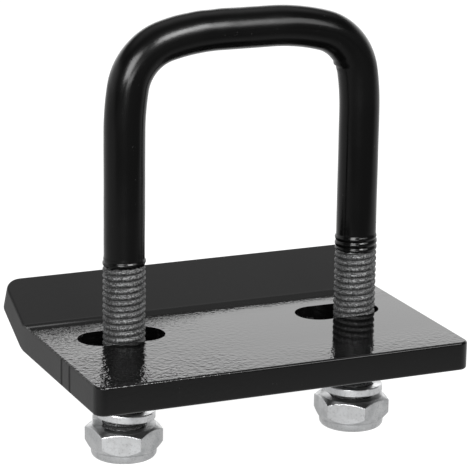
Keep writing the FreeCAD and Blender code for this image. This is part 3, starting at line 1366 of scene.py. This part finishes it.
@dataclass(frozen=True)
class Studio:
    """Floor, soft surrounding light, soft boxes and the camera."""

    azimuth: float = -23.879
    elevation: float = 15.578
    roll: float = 0.835
    distance: float = 695.6
    lens: float = 191.83
    sensor: float = 36.0
    target: tuple[float, float, float] = (-2.28, 0.0, 25.57)
    floor_half: float = 4.0
    soft_boxes: tuple[SoftBox, ...] = (
        SoftBox("front_soft_box", -80.0, 40.0, 1.3, (0.45, 0.42), 38.0),
        SoftBox("front_fill_box", -60.0, 34.0, 1.3, (0.6, 0.5), 11.0),
        SoftBox("left_soft_box", -132.0, 24.0, 1.3, (0.55, 0.6), 42.0),
        SoftBox("low_soft_box", -112.0, 6.0, 1.3, (0.5, 0.2), 7.5),
    )
    horizon_light: float = 2.8
    shade_light: float = 0.4
    ceiling_light: float = 1.7
    front_share: float = 0.15

    def build(self) -> None:
        """Set the floor, the light and the camera."""
        self._floor()
        self._light()
        self._camera()

    def _floor(self) -> None:
        """A wide level floor under the nuts."""
        bm = bmesh.new()
        bmesh.ops.create_grid(bm, x_segments=2, y_segments=2, size=self.floor_half)
        bmesh.ops.translate(bm, vec=(0, 0, CAD_BOUNDS[0][2]), verts=bm.verts)
        mesh = bpy.data.meshes.new("studio_floor")
        bm.to_mesh(mesh)
        bm.free()
        floor = bpy.data.objects.new("studio_floor", mesh)
        bpy.context.scene.collection.objects.link(floor)
        mesh.materials.append(Floor().build())

    def _light(self) -> None:
        """A bright low band, as of lit studio walls, under a shaded band and a softer ceiling."""
        world = bpy.data.worlds.new("studio")
        bpy.context.scene.world = world
        world.use_nodes = True
        tree = Tree(world.node_tree)
        direction = tree.add("TexCoord").outputs["Generated"]
        along = tree.feed(tree.add("SeparateXYZ"), Vector=direction)
        height = along.outputs["Z"]
        wall = tree.remap(height, 0.32, 0.46, self.horizon_light, self.shade_light)
        ceiling = tree.remap(height, 0.6, 0.84, 0.0, self.ceiling_light - self.shade_light)
        side = tree.remap(along.outputs["Y"], -0.1, 0.4, self.front_share, 1.0)
        level = tree.math("MULTIPLY", tree.math("ADD", wall, ceiling), side)
        background = tree.feed(tree.add("Background"), Strength=level)
        tree.link(background.outputs[0], tree.add("OutputWorld").inputs["Surface"])
        bpy.context.scene.view_settings.view_transform = "Standard"
        for soft_box in self.soft_boxes:
            soft_box.build()

    def _camera(self) -> None:
        """Aim a long lens at the clamp."""
        azimuth, elevation, roll = (math.radians(a) for a in (self.azimuth, self.elevation, self.roll))
        back = Vector((
            math.sin(azimuth) * math.cos(elevation),
            -math.cos(azimuth) * math.cos(elevation),
            math.sin(elevation),
        ))
        right = (-back).cross(Vector((0, 0, 1))).normalized()
        up = right.cross(-back)
        turned_right = right * math.cos(roll) + up * math.sin(roll)
        turned_up = up * math.cos(roll) - right * math.sin(roll)
        axes = Matrix((turned_right, turned_up, back)).transposed().to_4x4()
        place = (Vector(self.target) + back * self.distance) * MM
        data = bpy.data.cameras.new("camera")
        data.lens = self.lens
        data.sensor_width = self.sensor
        camera = bpy.data.objects.new("camera", data)
        bpy.context.scene.collection.objects.link(camera)
        camera.matrix_world = Matrix.Translation(place) @ axes
        bpy.context.scene.camera = camera


def main() -> None:
    """Build the finishes, the clamp and the studio."""
    logging.basicConfig(level=logging.INFO, format="%(name)s %(message)s", stream=sys.stdout)
    thread = ThreadForm()
    path = BentBar()
    effects = Effects.build()
    finishes = Finishes(
        plate=PowderCoat().build(effects),
        sleeve=ShrinkTube().build(effects),
        thread=RolledSteel(path.spacing, thread.root_radius + 0.05, thread.root_radius + 0.3).build(effects),
        nut=ZincPlate("zinc_nut_plate").build(effects),
        washer=ZincPlate("zinc_washer_plate", 0.44, 0.32).build(effects),
        nylon=Nylon().build(effects),
    )
    Clamp(thread, path, {Side.LEFT: 0.0, Side.RIGHT: 0.6}).build(finishes)
    Studio().build()


if __name__ == "__main__":
    main()
